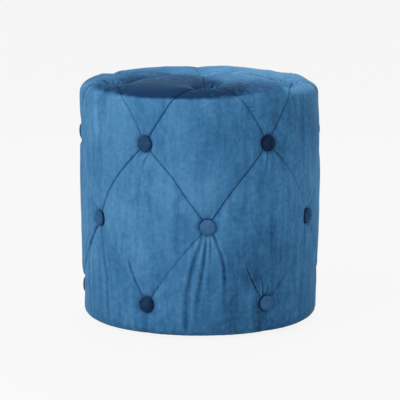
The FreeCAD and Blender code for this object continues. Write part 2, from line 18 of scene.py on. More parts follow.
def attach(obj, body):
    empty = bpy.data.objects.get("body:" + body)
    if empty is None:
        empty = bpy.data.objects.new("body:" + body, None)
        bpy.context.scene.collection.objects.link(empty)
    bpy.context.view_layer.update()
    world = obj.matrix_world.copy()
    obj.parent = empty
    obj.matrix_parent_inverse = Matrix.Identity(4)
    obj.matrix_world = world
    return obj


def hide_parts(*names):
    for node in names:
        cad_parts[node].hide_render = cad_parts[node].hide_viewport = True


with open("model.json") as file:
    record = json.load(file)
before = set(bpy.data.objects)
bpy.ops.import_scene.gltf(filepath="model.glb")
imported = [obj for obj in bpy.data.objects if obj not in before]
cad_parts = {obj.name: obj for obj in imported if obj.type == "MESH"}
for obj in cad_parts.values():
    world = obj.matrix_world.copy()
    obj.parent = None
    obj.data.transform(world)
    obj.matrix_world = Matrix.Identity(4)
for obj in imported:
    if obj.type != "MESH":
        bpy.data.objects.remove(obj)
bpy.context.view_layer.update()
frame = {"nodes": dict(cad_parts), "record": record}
scene = bpy.context.scene

# Sizes of the CAD model and, of the button caps, of this one
MM = 0.001
BOTTOM = 5.0  # underside of the velvet
TOP = 355.0  # its upper edge, before the pillows swell
RADIUS = 175.0  # crests of the pillows round the side
FOOT = 171.0  # the same at the foot, which is drawn in
EDGE = 22.5  # rounding of the upper edge
TOE = 12.0  # rounding of the foot
HEM = 114.0  # inner edge of the hem
VELVET = 1.5  # thickness
LOWER = 47.5  # heights of the three rows of buttons
MIDDLE = 160.5
UPPER = 273.5
RING = 140.0  # radius of the ring of buttons on the top
SIDE_SEAT = 6.0  # how deep the buttons sit
TOP_SEAT = 14.0
FOAM_RADIUS = 167.5  # the foam that the inside of the cover follows
FOAM_FOOT = 163.5
FOAM_EDGE = 12.0
FOAM_TOE = 6.0
BUTTON_RADIUS = 10.9
BUTTON_RIM = 2.5
BUTTON_CROWN = 4.0
DUST_RADIUS = 148.0
DUST_LEVEL = 4.2
SECTOR = 60
FRONT_LINES = range(0, 360, SECTOR)
HALF_SECTOR = SECTOR // 2
LINES_BETWEEN = range(HALF_SECTOR, 360, SECTOR)

# Fineness of the velvet's mesh, and how near a feature it is halved, time after time
COLUMNS = 240
STEP = 4.5
LINING_STEP = 12.0
FINER_WITHIN = (5.8, 2.9, 1.4)


# The crests of the pillows, as a line from the inside of the cover to its middle
def arc(centre_radius, centre_height, radius, first, last, count):
    """Radii, heights and outward directions along an arc, with its angles in degrees."""
    turn = np.radians(np.linspace(first, last, count))
    return (centre_radius + radius * np.cos(turn), centre_height + radius * np.sin(turn),
            np.cos(turn), np.sin(turn))


def straight(start, end, out):
    """The same along a straight stretch."""
    return (np.array([start[0], end[0]]), np.array([start[1], end[1]]),
            np.full(2, out[0]), np.full(2, out[1]))


def joined(stretches):
    """Stretches in a row as one line, with the way from its start in front."""
    line = np.hstack([np.array(stretch) for stretch in stretches])
    steps = np.hypot(np.diff(line[0]), np.diff(line[1]))
    return np.vstack([np.concatenate([[0], np.cumsum(steps)]), line])


OUTSIDE = joined([
    straight((HEM, BOTTOM), (FOOT - TOE, BOTTOM), (0, -1)),
    arc(FOOT - TOE, BOTTOM + TOE, TOE, -90, 0, 25),
    straight((FOOT, BOTTOM + TOE), (RADIUS, MIDDLE), (1, 0)),
    straight((RADIUS, MIDDLE), (RADIUS, TOP - EDGE), (1, 0)),
    arc(RADIUS - EDGE, TOP - EDGE, EDGE, 0, 90, 37),
    straight((RADIUS - EDGE, TOP), (0, TOP), (0, 1)),
])
FOAM_TOP = TOP - TOP_SEAT - VELVET
LINING = joined([
    straight((HEM, BOTTOM), (HEM, BOTTOM + VELVET), (-1, 0)),
    straight((HEM, BOTTOM + VELVET), (FOAM_FOOT - FOAM_TOE, BOTTOM + VELVET), (0, 1)),
    arc(FOAM_FOOT - FOAM_TOE, BOTTOM + VELVET + FOAM_TOE, FOAM_TOE, -90, 0, 7),
    straight((FOAM_FOOT, BOTTOM + VELVET + FOAM_TOE), (FOAM_RADIUS, MIDDLE), (-1, 0)),
    straight((FOAM_RADIUS, MIDDLE), (FOAM_RADIUS, FOAM_TOP - FOAM_EDGE), (-1, 0)),
    arc(FOAM_RADIUS - FOAM_EDGE, FOAM_TOP - FOAM_EDGE, FOAM_EDGE, 0, 90, 9),
    straight((FOAM_RADIUS - FOAM_EDGE, FOAM_TOP), (0, FOAM_TOP), (0, -1)),
])
INWARD = np.vstack([-LINING[0], LINING[1:]])[:, ::-1]
WHOLE = np.hstack([INWARD[:, :-1], OUTSIDE])
END_WAY = OUTSIDE[0, -1]
LINING_END = INWARD[0, 0]
SIDE_START = (FOOT - TOE - HEM) + TOE * math.pi / 2
EDGE_START = END_WAY - (RADIUS - EDGE) - EDGE * math.pi / 2


def surface(azimuth, way):
    """Points on the crest surface, the directions out of it and those along the way."""
    azimuth = np.radians(azimuth)
    radius, height, out_r, out_z = (np.interp(way, WHOLE[0], WHOLE[row])
                                    for row in (1, 2, 3, 4))
    length = np.hypot(out_r, out_z)
    out_r = out_r / length
    out_z = out_z / length
    sine = np.sin(azimuth)
    cosine = -np.cos(azimuth)
    points = np.stack([radius * sine, radius * cosine, height], -1)
    outward = np.stack([out_r * sine, out_r * cosine, out_z], -1)
    along = np.stack([-out_z * sine, -out_z * cosine, out_r], -1)
    return points, outward, along


def side(azimuth, height):
    """A place on the side or its rounded edges, at a height."""
    if height < BOTTOM + TOE:
        turn = math.acos((BOTTOM + TOE - height) / TOE)
        return azimuth, FOOT - TOE - HEM + TOE * turn
    if height > TOP - EDGE:
        return azimuth, EDGE_START + EDGE * math.asin((height - TOP + EDGE) / EDGE)
    return azimuth, SIDE_START + height - BOTTOM - TOE


def over(azimuth, radius):
    """A place on the top, at a distance from the middle."""
    return azimuth, END_WAY - radius


def smooth_line(places, spacing=3.0):
    """A smooth line through places, as azimuths and ways, with a point every few mm."""
    marks = np.array(places, float)
    marks[:, 0] = np.degrees(np.unwrap(np.radians(marks[:, 0])))
    padded_marks = np.vstack([2 * marks[0] - marks[1], marks, 2 * marks[-1] - marks[-2]])
    out = []
    for index in range(len(marks) - 1):
        before, start, end, after = padded_marks[index:index + 4]
        chord = np.linalg.norm(surface(end[0], end[1])[0] - surface(start[0], start[1])[0])
        count = max(int(chord / spacing), 1)
        share = (np.arange(count) / count)[:, None]
        out.append(0.5 * (2 * start + (end - before) * share
                          + (2 * before - 5 * start + 4 * end - after) * share ** 2
                          + (3 * start - before - 3 * end + after) * share ** 3))
    return np.vstack(out + [marks[-1:]])


class Line:
    """A crease or wrinkle as points on the crest surface, with distances to it."""

    def __init__(self, places):
        marks = smooth_line(places)
        self.points = surface(marks[:, 0], marks[:, 1])[0]
        steps = np.linalg.norm(np.diff(self.points, axis=0), axis=1)
        self.marks = np.concatenate([[0], np.cumsum(steps)])
        self.length = self.marks[-1]

    def near(self, velvet, reach):
        """The vertices within reach: their indices, distances, share of the line passed
        by the nearest point, and the vector from there."""
        low = self.points.min(0) - reach
        high = self.points.max(0) + reach
        inside = ((velvet.points >= low) & (velvet.points <= high)).all(1) & velvet.outer
        index = np.nonzero(inside)[0]
        spots = velvet.points[index]
        best = np.full(len(index), np.inf)
        share = np.zeros(len(index))
        away = np.zeros((len(index), 3))
        for start, end, mark in zip(self.points[:-1], self.points[1:], self.marks[:-1]):
            chord = end - start
            length = np.linalg.norm(chord)
            part = np.clip((spots - start) @ chord / length ** 2, 0, 1)
            gap = spots - start - part[:, None] * chord
            distance = np.linalg.norm(gap, axis=1)
            closer = distance < best
            best[closer] = distance[closer]
            share[closer] = ((mark + part * length) / self.length)[closer]
            away[closer] = gap[closer]
        kept = best < reach
        return index[kept], best[kept], share[kept], away[kept]


def read_off(table, places):
    """Values in between the marks of a table of marks and values."""
    marks, values = zip(*table)
    return np.interp(places, marks, values)


def graded(share, values):
    """Values given at even steps along a line, read at shares of its length."""
    return np.interp(share, np.linspace(0, 1, len(values)), values)


def hill(distance, width):
    """1 where the distance is none, falling smoothly to nothing."""
    return np.exp(-(distance / width) ** 2)


# Valleys and pits are summed as powers, so that where two meet the deeper one rules
BLEND = 4
VALLEY_REACH = 3.2
VALLEY_SHAPE = 1.3

# Pleats: a groove, the painted shade that darkens the pile along it, the lip, and the step below
PLEAT_REACH = 16.0
GROOVE_WIDTH = 0.8
PAINTED_SHADE_WIDTH = 0.9
PAINTED_CREASE_SHADE = 0.28
LIP_PLACE = 2.6
LIP_WIDTH = 1.9
STEP_WIDTH = 5.0
STITCH = 3.4

# Pillows on the top: how far they swell, and the share of it left on the front lines
CROWN = 7.0
CROWN_RADIUS = 76.0
CROWN_WIDTH = 41.0
CROWN_ON_LINES = [(-180, 0.9), (-120, 0.5), (-60, 0.5), (0, 0.85), (60, 0.5), (120, 0.5),
                  (180, 0.9)]

# How far the narrow pillows fall away at the edge, round the top and along the way
EDGE_FALL = [(-180, 5), (-120, 5), (-60, 5), (0, 4), (60, 7.5), (120, 5), (180, 5)]
FALL_PLACE = 26.0
FALL_WIDTH = 17.0

# The pillow at the right, drawn in above its upper button
SHOULDER = [(-99, 0), (-42, 1.4), (-20, 2.2), (4, 3.2), (20, 3.0), (36, 0)]
SHOULDER_AZIMUTH = 88.0
SHOULDER_WIDTH = 24.0

# How deep the velvet may go before it meets the foam, from the hem to the top
ROOM = [(0, 0.6), (60, 6.4), (EDGE_START, 7.0), (EDGE_START + 18, 12.0), (EDGE_START + 36, 15.2)]


class Velvet:
    """The vertices of the cover: where they are on the crest surface, and how deep.

    soft sums the valleys and pits, fine the grooves and wrinkles, and painted_shade the shade
    painted into the pile in them, with a painted highlight on the wrinkles' ridges.
    """

    def __init__(self, azimuth, way):
        self.azimuth = azimuth
        self.way = way
        self.points, self.outward, self.along = surface(azimuth, way)
        self.outer = way > 0
        self.soft, self.fine, self.painted_shade = np.zeros((3, len(way)))

    def valley(self, line, depths, widths):
        """A soft valley along a line, with its depth and width at even steps along it."""
        index, distance, share, _ = line.near(self, VALLEY_REACH * max(widths))
        depth = graded(share, depths)
        width = graded(share, widths)
        self.soft[index] += (depth * np.exp(-(distance / width) ** VALLEY_SHAPE)) ** BLEND

    def pleat(self, line, strengths, groove=1.9, lip=0.4, step=0.5, stitched=0.0):
        """A tuck in the velvet: a sharp groove, and above it a lip that laps over it."""
        index, distance, share, away = line.near(self, PLEAT_REACH)
        strength = graded(share, strengths)
        above = np.sign((away * self.along[index]).sum(1))
        lean = np.clip(above, 0, 1)
        wave = 1 - stitched * (0.5 + 0.5 * np.sin(share * line.length / STITCH * 2 * math.pi))
        self.fine[index] += strength * (
            groove * wave * hill(distance, GROOVE_WIDTH)
            + step * np.exp(-distance / STEP_WIDTH) * (1 - lean)
            - lip * hill(distance * above - LIP_PLACE, LIP_WIDTH))
        # Painted shade: the pile darkened along the groove.
        self.painted_shade[index] += strength * wave * PAINTED_CREASE_SHADE * hill(distance, PAINTED_SHADE_WIDTH)

    def wrinkle(self, line, depth, width, fade):
        """A narrow fold: a furrow along a line with a ridge on either side."""
        index, distance, share, _ = line.near(self, 5 * width)
        strength = depth * graded(share, fade)
        spread = width * (0.75 + 0.6 * share)
        furrow = hill(distance, spread)
        ridge = hill(distance - 2.0 * spread, 1.1 * spread)
        self.fine[index] += strength * (furrow - 0.65 * ridge)
        # Painted shade in the furrow, painted highlight on the ridges.
        self.painted_shade[index] += np.minimum(strength, 1.5) * (0.12 * furrow - 0.08 * ridge)

    def pit(self, centre, seat, wall, tail, tail_share, steep=0.0):
        """The hollow that a button sits in: flat under it, then rising to the pillows,
        and on the side of the edge more steeply."""
        gap = self.points - centre
        distance = np.linalg.norm(gap, axis=1)
        index = np.nonzero((distance < BUTTON_RADIUS + 4 * tail) & self.outer)[0]
        past = np.clip(distance[index] - BUTTON_RADIUS - 0.3, 0, None)
        outwards = centre * (1, 1, 0) / max(math.hypot(centre[0], centre[1]), 1.0)
        facing = np.clip((gap[index] @ outwards) / (distance[index] + 1e-6) * 1.3, 0, 1)
        spread = tail_share * (1 - steep * facing)
        wall = wall * (1 - 0.4 * steep * facing)
        depth = seat * ((1 - spread) * hill(past, wall) + spread * np.exp(-past / tail))
        self.soft[index] += depth ** BLEND

    def depth(self):
        """How far each vertex lies under the crest surface."""
        valleys = self.soft ** (1 / BLEND)
        pressed = np.clip(valleys / TOP_SEAT, 0, 1)
        swell = (self.crown() - self.edge_fall() - self.shoulder()) * (1 - pressed)
        return np.minimum(valleys + self.fine - swell, read_off(ROOM, self.way)) * self.outer

    def between(self):
        """1 on the lines between the front lines, falling to 0 on the front lines."""
        return 0.5 - 0.5 * np.cos(np.radians(self.azimuth) * 360 / SECTOR)

    def crown(self):
        """How far the big pillows on the top swell above its edge."""
        radius = END_WAY - self.way
        on_lines = read_off(CROWN_ON_LINES, self.azimuth)
        return (CROWN * hill(radius - CROWN_RADIUS, CROWN_WIDTH)
                * (on_lines + (1 - on_lines) * self.between()) * (radius < RADIUS - EDGE))

    def shoulder(self):
        """How far the pillow at the right is drawn in, above its upper button."""
        return (read_off(SHOULDER, self.way - EDGE_START)
                * hill(self.azimuth - SHOULDER_AZIMUTH, SHOULDER_WIDTH))

    def edge_fall(self):
        """How far the narrow pillows over the upper buttons fall away at the edge."""
        return (read_off(EDGE_FALL, self.azimuth) * self.between() ** 0.8
                * hill(self.way - EDGE_START - FALL_PLACE, FALL_WIDTH))


rng = random.Random(7)


def varied(low, high):
    """A number between two, the same on every run."""
    return low + (high - low) * rng.random()


# Creases between buttons. The photographed ones follow their own lines.
CREASES = []

# A crease's valley: depths at even steps along it, and widths
UPPER_VALLEY = ((6, 3.2, 2.2, 3.2, 6), (8, 10, 8))
LOWER_VALLEY = ((6, 2.5, 2.0, 2.5, 6), (8, 10, 8))
FADING_VALLEY = ((6, 1.0, 0.5, 1.0, 6), (8, 10, 8))
EDGE_VALLEY = ((6, 3.0, 2.4, 3.6, 14), (8, 9, 9, 11, 16))
SHALLOW_SEAM = ((14, 4.0, 1.2, 4.5, 14), (12, 12, 12, 10))
DEEP_SEAM = ((14, 7, 5.5, 7.5, 14), (14, 17, 17, 12))
FOOT_VALLEY = ((6, 3, 1.6, 0.6), (8, 7, 6))

SEEN_UPPER = {
    # From an upper button down to a middle one: places between, and how sharp along it
    (-30, 0): ([(-17.1, 231.7), (-9.6, 200)], (1, 1, 1, 1, 1)),
    (-30, -60): ([(-42.6, 234.5), (-51, 203.6)], (1, 1, 0.9, 0.8, 0.7)),
    (30, 0): ([(18.8, 236), (10.8, 208)], (1, 1, 1, 1, 1)),
    (30, 60): ([(41.6, 238.5), (49.6, 207)], (0.9, 0.5, 0.35, 0.3, 0.45)),
}
SEEN_LOWER = {
    # From a middle button down to a lower one
    (0, -30): ([(-11.6, 120.6), (-20.8, 85.2)], (0.9, 0.5, 0.35, 0.35, 0.8)),
    (0, 30): ([(7, 131), (20, 90)], (0.8, 0.2, 0, 0, 0)),
    (60, 30): ([(51.5, 115), (41.6, 83.6)], (0.4, 0.3, 0.25, 0.4, 0.8)),
    (-60, -30): ([(-54.5, 125), (-43, 92)], (0.5, 0.25, 0, 0.1, 0.3)),
}
SEEN_EDGE = {
    # From an upper button over the edge to the ring
    (-30, -60): [(-36.2, 312), (-42, 335), (-46.5, 349)],
    (-30, 0): [(-20.8, 315), (-15.6, 337), (-11, 349)],
    (30, 0): [(21.6, 312), (15.4, 337), (10.6, 349)],
    (30, 60): [(37.6, 314), (42.2, 335), (46, 349)],
}

# The one that fades out below its button, and the two that are gathered
FADING = (0, 30)
GATHERED = ((30, 0), (-30, -60))

# Other creases: at which heights they bend, which seams are shallow, and how sharp they are
UPPER_BENDS = (235, 199)
LOWER_BENDS = (122, 86)
SHALLOW_SEAMS = (0, 60, 180)
SEAM_STRENGTHS = {0: (1, 1, 1, 1, 1), 180: (0.5, 0.35, 0.25, 0.35, 0.5)}
OTHER_SEAMS = (0.9, 0.8, 0.7, 0.7, 0.8)


def crease(places, valley, strengths, **pleat):
    """Notes down a crease: its line, the valley along it, and its pleat."""
    depths, widths = valley
    CREASES.append((Line(places), depths, widths, strengths, pleat))


def signed(azimuth):
    """An azimuth from -180 up to 180."""
    return (azimuth + 180) % 360 - 180


def seen_places(line, places):
    """Places as the photograph shows them, with azimuths that run on from a line's."""
    return [side(line + signed(azimuth - line), height) for azimuth, height in places]


def bowed(start, end, heights, bow):
    """Two places between two lines, bowed in degrees towards the line at the end."""
    swing = (end - start) / HALF_SECTOR
    return [side(start + swing * (10 + bow), heights[0] + varied(-3, 3)),
            side(start + swing * (20 + 0.8 * bow), heights[1] + varied(-3, 3))]


def upper_crease(between, front):
    """From an upper button down to a middle one."""
    key = (signed(between), signed(front))
    if key in SEEN_UPPER:
        places, strengths = SEEN_UPPER[key]
        middle = seen_places(between, places)
    else:
        middle = bowed(between, front, UPPER_BENDS, varied(0.0, 3.2))
        fade = varied(0.55, 1.0)
        strengths = (1, 1, fade, fade, 1)
    crease([side(between, UPPER)] + middle + [side(front, MIDDLE)], UPPER_VALLEY, strengths)


def lower_crease(front, between):
    """From a middle button down to a lower one."""
    key = (signed(front), signed(between))
    if key in SEEN_LOWER:
        places, strengths = SEEN_LOWER[key]
        middle = seen_places(front, places)
    else:
        middle = bowed(front, between, LOWER_BENDS, varied(-1.5, 3.0))
        fade = varied(0.1, 1.0)
        strengths = (1, 0.9 * fade + 0.1, fade, fade, 0.9)
    crease([side(front, MIDDLE)] + middle + [side(between, LOWER)],
           FADING_VALLEY if key == FADING else LOWER_VALLEY, strengths)


def edge_crease(between, front):
    """From an upper button over the edge to the ring."""
    key = (signed(between), signed(front))
    if key in SEEN_EDGE:
        middle = seen_places(between, SEEN_EDGE[key])
        stitched = 0.6 if key in GATHERED else 0.25
    else:
        swing = (front - between) / HALF_SECTOR
        middle = [side(between + swing * varied(6.5, 9), 314),
                  side(between + swing * varied(12, 14.5), 337),
                  side(between + swing * varied(17.5, 19), 349)]
        stitched = varied(0.1, 0.6)
    crease([side(between, UPPER)] + middle + [over(front, RING)], EDGE_VALLEY,
           (1, 1, 1, 0.9, 0.9), stitched=stitched)


def top_seam(front):
    """From a button of the ring to the one in the middle."""
    crease([over(front, RING), over(front + varied(-1.5, 1.5), 95),
            over(front + varied(-2.5, 2.5), 48), over(front, 6)],
           SHALLOW_SEAM if front in SHALLOW_SEAMS else DEEP_SEAM,
           SEAM_STRENGTHS.get(front, OTHER_SEAMS), lip=0.0, step=0.0)


def foot_crease(between):
    """From a lower button down to the foot."""
    crease([side(between, LOWER), side(between + varied(-0.6, 0.6), 24),
            side(between + varied(-0.8, 0.8), 6)],
           FOOT_VALLEY, (0.6, 0.45, 0.3), lip=0.2, step=0.0, groove=0.7)


def lay_creases():
    """All creases, round the stool and then inwards and downwards."""
    for between in LINES_BETWEEN:
        for front in (between - HALF_SECTOR, between + HALF_SECTOR):
            upper_crease(between, front)
            lower_crease(front, between)
            edge_crease(between, front)
    for front in FRONT_LINES:
        top_seam(front)
    for between in LINES_BETWEEN:
        foot_crease(between)


# How a wrinkle's depth runs, at even steps along it
FADING_SOON = (0.5, 1, 0.7, 0.3, 0)
FADING_SLOWLY = (0.5, 1, 0.8, 0.4, 0)
RISING = (0, 0.6, 1, 1, 0.6)
RISING_LATE = (0, 0.5, 1, 1, 0.6)
GATHER = (0.6, 1, 1, 0.7, 0.3)
SPRAY = (0.8, 1, 0.8, 0.4, 0)

# Wrinkles that the photograph shows: places, depth, width and run
SEEN_WRINKLES = [
    ([(-2.3, 147), (-7.2, 101.8), (-9.8, 55.7), (-10.3, 18)], 2.9, 3, (0.3, 1, 1, 0.8, 0.4)),
    ([(-0.6, 147), (-2.3, 101.8), (-4.6, 61.1), (-5.4, 36)], 2.3, 2.3, (0.4, 1, 0.9, 0.6, 0)),
    ([(1.1, 147), (1.6, 104)], 1.5, 1.6, FADING_SOON),
    ([(3, 147), (6.8, 114.8), (7.8, 93.5), (7.7, 43.8)], 2.2, 2.1, (0.5, 1, 0.9, 0.35, 0)),
    ([(17.3, 110.3), (21, 84), (26.4, 56.5)], 1.6, 1.1, (0, 0.7, 1, 1, 0.6)),
    ([(26, 92), (28.2, 58)], 1.4, 1.1, RISING),
    ([(30.4, 80), (29.6, 58)], 1.4, 1.1, RISING),
    ([(-39.5, 118), (-36.3, 88.5), (-32, 60)], 2.4, 1.8, RISING),
    ([(-27.6, 262), (-31.2, 238)], 1.5, 1.9, FADING_SOON),
    ([(-31.6, 262), (-36, 246)], 0.8, 1.8, FADING_SOON),
    ([(29.4, 262), (27.6, 228)], 1.4, 1.7, FADING_SOON),
    ([(32, 262), (34.2, 234)], 0.9, 1.8, FADING_SOON),
    ([(61, 149), (67, 124), (70.5, 96)], 2.2, 2.2, FADING_SLOWLY),
    ([(57.5, 147), (56, 118)], 1, 2.2, FADING_SOON),
    ([(-61, 150), (-66.5, 130), (-71, 92), (-70, 18)], 1.7, 2.8, (0.6, 1, 0.9, 0.7, 0.3)),
    ([(-58.5, 148), (-55, 104), (-53.4, 75.5), (-53.2, 26)], 1.8, 2.6, (0.4, 0.7, 1, 0.8, 0.2)),
    ([(-62.5, 149), (-75, 112), (-78, 60)], 0.8, 2.8, (0.6, 1, 0.8, 0.5, 0)),
]
SEEN_FRONTS = (0, 60, -60)
SEEN_BETWEEN = (30, -30)

# Gathers across two creases at the upper edge: heights and azimuths
GATHERS_RIGHT = ((313, 22.0), (319, 20.4), (325, 18.9), (331, 17.4), (337, 15.9), (343, 13.8))
GATHERS_LEFT = ((334, -16.0), (339, -14.6), (344, -12.8), (348, -11.0))
GATHER_WIDTH = 0.8

# Pleats round a top button: in which directions, and from how far out
PLEAT_TURNS = (-162, -143, -124, -100, -72, -46, -20, 20, 46, 72, 100, 124, 143, 162)
PLEAT_START = 12.0
WRINKLES = []


def wrinkle(places, depth, width, fade):
    """Notes down a wrinkle."""
    WRINKLES.append((Line(places), depth, width, fade))


def gather_edge():
    """The gathers at the upper edge."""
    for height, azimuth in GATHERS_RIGHT:
        wrinkle([side(azimuth + 0.3, height - 1), side(azimuth + 2.2, height + varied(1, 4))],
                varied(0.8, 1.3), GATHER_WIDTH, GATHER)
    for height, azimuth in GATHERS_LEFT:
        wrinkle([side(azimuth, height - 1), side(azimuth - 1.6, height + 3)],
                varied(0.6, 1.0), GATHER_WIDTH, GATHER)


def fan_from_middle(front):
    """Wrinkles that fan out down from a middle button."""
    reach = varied(60, 115)
    for lean in (-8.0, -4.0, -0.5, 3.0, 7.0):
        spread = lean + varied(-1.2, 1.2)
        drop = reach * varied(0.35, 1.0)
        wrinkle([side(front + 0.3 * lean, MIDDLE - 12), side(front + 0.8 * spread, MIDDLE - 45),
                 side(front + spread, MIDDLE - 35 - drop)],
                varied(1.2, 2.7), varied(1.8, 2.9), FADING_SLOWLY)


def fan_to_lower(between):
    """Wrinkles that run together down to a lower button."""
    for lean in (-5.0, 0.5, 5.5):
        spread = lean + varied(-1.5, 1.5)
        wrinkle([side(between + 2.2 * spread, LOWER + varied(38, 62)),
                 side(between + 1.4 * spread, LOWER + 30), side(between + 0.45 * spread, LOWER + 11)],
                varied(1.1, 2.1), varied(1.1, 1.9), RISING_LATE)


def pair_from_upper(between):
    """Two short wrinkles down from an upper button."""
    for lean in (-3.0, 2.5):
        spread = lean + varied(-1.2, 1.2)
        wrinkle([side(between + 0.5 * spread, UPPER - 11),
                 side(between + 1.3 * spread, UPPER - varied(28, 46))],
                varied(1.1, 1.7), varied(1.6, 2.1), FADING_SOON)


def pleats_at_ring(front):
    """Pleats round a button of the ring."""
    for turn in PLEAT_TURNS:
        start = math.radians(turn + varied(-5, 5))
        outer = PLEAT_START + varied(9, 20)
        places = [(front + math.degrees(math.sin(start) * reach / RING),
                   END_WAY - RING - math.cos(start) * reach)
                  for reach in (PLEAT_START, (PLEAT_START + outer) / 2, outer)]
        wrinkle(places, varied(1.5, 2.6), varied(1.2, 1.7), SPRAY)


def pleats_at_middle():
    """Pleats round the button in the middle of the top."""
    for turn in range(0, 360, 20):
        azimuth = turn + varied(-6, 6)
        wrinkle([over(azimuth, 13), over(azimuth + varied(-2, 2), varied(24, 34))],
                varied(0.9, 1.7), varied(1.2, 1.7), SPRAY)


def lay_wrinkles():
    """The photographed wrinkles, and others like them on the sides that it doesn't show."""
    for places, depth, width, fade in SEEN_WRINKLES:
        wrinkle([side(*place) for place in places], depth, width, fade)
    gather_edge()
    for front in FRONT_LINES:
        if signed(front) not in SEEN_FRONTS:
            fan_from_middle(front)
    for between in LINES_BETWEEN:
        if signed(between) not in SEEN_BETWEEN:
            fan_to_lower(between)
            pair_from_upper(between)
    for front in FRONT_LINES:
        pleats_at_ring(front)
    pleats_at_middle()


lay_creases()
lay_wrinkles()
BUTTON_PLACES = {
    "lower": [side(azimuth, LOWER) for azimuth in LINES_BETWEEN],
    "middle": [side(azimuth, MIDDLE) for azimuth in FRONT_LINES],
    "upper": [side(azimuth, UPPER) for azimuth in LINES_BETWEEN],
    "top": [over(0, 0)] + [over(azimuth, RING) for azimuth in FRONT_LINES],
}
PITS = [(surface(*place)[0], row == "top") for row in BUTTON_PLACES for place in BUTTON_PLACES[row]]


# The cover's mesh
@contextmanager
def edited(mesh):
    """A mesh opened for editing, and written back afterwards."""
    grid = bmesh.new()
    grid.from_mesh(mesh)
    yield grid
    grid.to_mesh(mesh)
    grid.free()


def add_attribute(mesh, name, values):
    """Gives a mesh a number or a vector at each vertex."""
    values = np.array(values)
    kind, field = ("FLOAT", "value") if values.ndim == 1 else ("FLOAT_VECTOR", "vector")
    mesh.attributes.new(name, kind, "POINT").data.foreach_set(field, values.ravel())


def smooth(mesh):
    """Shades a mesh smoothly."""
    mesh.polygons.foreach_set("use_smooth", np.ones(len(mesh.polygons), bool))


# How near a feature is looked for, and how wide a pit's rim is
FEATURE_REACH = 9
PIT_RIM = 16


def nearest_feature(velvet):
    """How far each vertex is from a crease, a wrinkle or the rim of a button's pit."""
    least = np.full(len(velvet.way), np.inf)
    for line in [entry[0] for entry in CREASES + WRINKLES]:
        index, distance, _, _ = line.near(velvet, FEATURE_REACH)
        least[index] = np.minimum(least[index], distance)
    for centre, _ in PITS:
        distance = np.abs(np.linalg.norm(velvet.points - centre, axis=1) - PIT_RIM)
        least = np.minimum(least, np.where(velvet.outer, distance, np.inf))
    return least


def lattice():
    """The cover's mesh before tufting: closed, with rings of equal columns."""
    outer_rows = int(END_WAY / STEP)
    inner_rows = int(-LINING_END / LINING_STEP)
    ways = np.concatenate([np.linspace(LINING_END, 0, inner_rows + 1)[1:-1],
                           np.linspace(0, END_WAY, outer_rows + 1)[:-1]])
    azimuth, way = np.meshgrid(360.0 / COLUMNS * np.arange(COLUMNS), ways)
    points = surface(azimuth.ravel(), way.ravel())[0]
    poles = surface(np.zeros(2), np.array([LINING_END, END_WAY]))[0]
    rows = len(ways)
    corner = np.arange(rows * COLUMNS).reshape(rows, COLUMNS)
    following = np.roll(corner, -1, axis=1)
    quads = np.stack([corner[:-1], following[:-1], following[1:], corner[1:]], -1).reshape(-1, 4)
    first = rows * COLUMNS
    last = first + 1
    fans = [(first, b, a) for a, b in zip(corner[0], following[0])]
    fans += [(last, a, b) for a, b in zip(corner[-1], following[-1])]
    mesh = bpy.data.meshes.new("velvet_cover")
    mesh.from_pydata(np.vstack([points, poles]).tolist(), [], quads.tolist() + fans)
    add_attribute(mesh, "way", np.concatenate([way.ravel(), [LINING_END, END_WAY]]))
    return mesh


def read_velvet(mesh):
    """The cover's vertices as they lie on the crest surface."""
    points = np.zeros(len(mesh.vertices) * 3)
    mesh.vertices.foreach_get("co", points)
    points = points.reshape(-1, 3)
    way = np.zeros(len(mesh.vertices))
    mesh.attributes["way"].data.foreach_get("value", way)
    return Velvet(np.degrees(np.arctan2(points[:, 0], -points[:, 1])), way)


def refine(mesh, chosen):
    """Halves the edges between chosen vertices."""
    with edited(mesh) as grid:
        edges = [edge for edge in grid.edges
                 if chosen[edge.verts[0].index] and chosen[edge.verts[1].index]]
        bmesh.ops.subdivide_edges(grid, edges=edges, cuts=1, use_grid_fill=True)


def fan_out(mesh):
    """Splits faces of more than four corners round a vertex in their middle, so that no
    triangle has its corners in one line."""
    with edited(mesh) as grid:
        way = grid.verts.layers.float["way"]
        crowded = [face for face in grid.faces if len(face.verts) > 4]
        for middle in bmesh.ops.poke(grid, faces=crowded, center_mode="MEAN")["verts"]:
            around = [edge.other_vert(middle)[way] for edge in middle.link_edges]
            middle[way] = sum(around) / len(around)


# Unevenness of the padding: sizes of its humps, their heights and where the noise starts
UNEVEN = ((62.0, 0.7, Vector((0, 0, 0))), (24.0, 0.35, Vector((9, 3, 5))))
UNEVEN_ON_TOP = [(EDGE_START, 1.0), (EDGE_START + EDGE * 2, 1.7)]
UNEVEN_AT_FOOT = [(30, 0.2), (90, 1.0)]

# Folds at the foot: how many go round in each wave, how high, and where along the way
FOLD_COUNTS = (71, 94, 113, 148)
FOLD_HEIGHT = 0.10
FOLD_PLACES = [(18, 0), (34, 1), (46, 0.8), (58, 0)]

# Pits: seat, width of the wall, reach and share of the tail. The top's are steeper outwards
TOP_PIT = (TOP_SEAT, 8.0, 18.0, 0.5)
SIDE_PIT = (SIDE_SEAT, 4.6, 10.0, 0.42)
STEEP_BEHIND = 1.0
STEEP_IN_FRONT = 0.7


def uneven(velvet):
    """Slow unevenness of the padding."""
    out = np.zeros(len(velvet.way))
    for index, point in enumerate(velvet.points):
        spot = Vector(point)
        out[index] = sum(height * noise.noise(spot / size + start) for size, height, start in UNEVEN)
    return out * read_off(UNEVEN_ON_TOP, velvet.way) * read_off(UNEVEN_AT_FOOT, velvet.way)


def gathers(velvet):
    """Small folds where the velvet is turned under the foot."""
    waves = np.zeros(len(velvet.way))
    turn = np.radians(velvet.azimuth)
    for count in FOLD_COUNTS:
        waves += np.sin(count * turn + varied(0, 6.28)) * varied(0.6, 1.0)
    return -FOLD_HEIGHT * waves * read_off(FOLD_PLACES, velvet.way)


